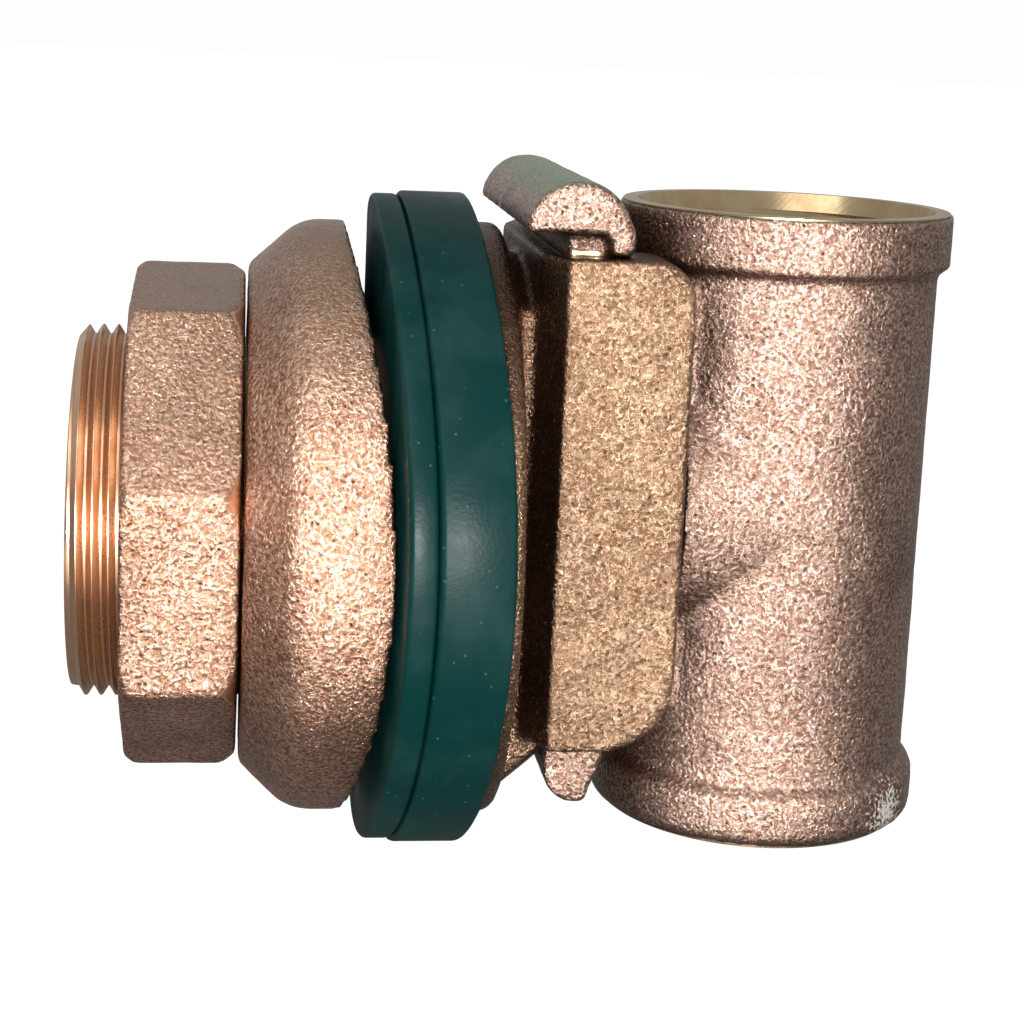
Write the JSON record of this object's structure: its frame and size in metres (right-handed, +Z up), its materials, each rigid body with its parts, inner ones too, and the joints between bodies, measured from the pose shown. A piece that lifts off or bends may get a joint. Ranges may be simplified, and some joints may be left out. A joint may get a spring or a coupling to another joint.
{
  "type": "pitless adapter fitting",
  "caption": "Bronze well-casing discharge fitting: threaded stub with nut, ring and green gaskets clamp the casing, and a lift-out drop-pipe tee slides into its receiver.",
  "frame": {"origin": "on the discharge axis, at the casing wall clamped between the two gaskets", "axes": "+Z up along the tee, +X into the well towards the tee, -X out along the discharge stub"},
  "size_m": [0.1315, 0.0986, 0.1032],
  "materials": {
    "cast_bronze": "sand-cast, tumbled, lightly tarnished",
    "machined_bronze": "lathe-turned",
    "green_rubber": "moulded, satin",
    "black_rubber": "moulded, greased"
  },
  "bodies": {
    "adapter": {"adapter_body": "cast_bronze"},
    "slide": {"slide_tee": "cast_bronze", "seal_ring": "black_rubber"},
    "ring": {"compression_ring": "cast_bronze"},
    "nut": {"lock_nut": "cast_bronze"},
    "outer_seal": {"outer_gasket": "green_rubber"},
    "inner_seal": {"inner_gasket": "green_rubber"}
  },
  "joints": [
    {"name": "slide_lift", "type": "slide", "parent": "adapter", "child": "slide", "axis": [0, 0, 1], "range_m": [0, 0.085]},
    {"name": "ring_slide", "type": "slide", "parent": "adapter", "child": "ring", "axis": [-1, 0, 0], "range_m": [0, 0.0246]},
    {"name": "nut_turn", "type": "hinge", "parent": "ring", "child": "nut", "pos_m": [-0.0305, 0, 0], "axis": [-1, 0, 0], "range_deg": [0, 3980]},
    {"name": "outer_seal_slide", "type": "slide", "parent": "adapter", "child": "outer_seal", "axis": [-1, 0, 0], "range_m": [0, 0.0148]},
    {"name": "inner_seal_slide", "type": "slide", "parent": "adapter", "child": "inner_seal", "axis": [-1, 0, 0], "range_m": [0, 0.0074]}
  ],
  "couplings": [
    {"joint": "ring_slide", "follows": "nut_turn", "m_per_rad": 0.00035157},
    {"joint": "outer_seal_slide", "follows": "nut_turn", "m_per_rad": 0.00021094},
    {"joint": "inner_seal_slide", "follows": "nut_turn", "m_per_rad": 0.00010547}
  ]
}
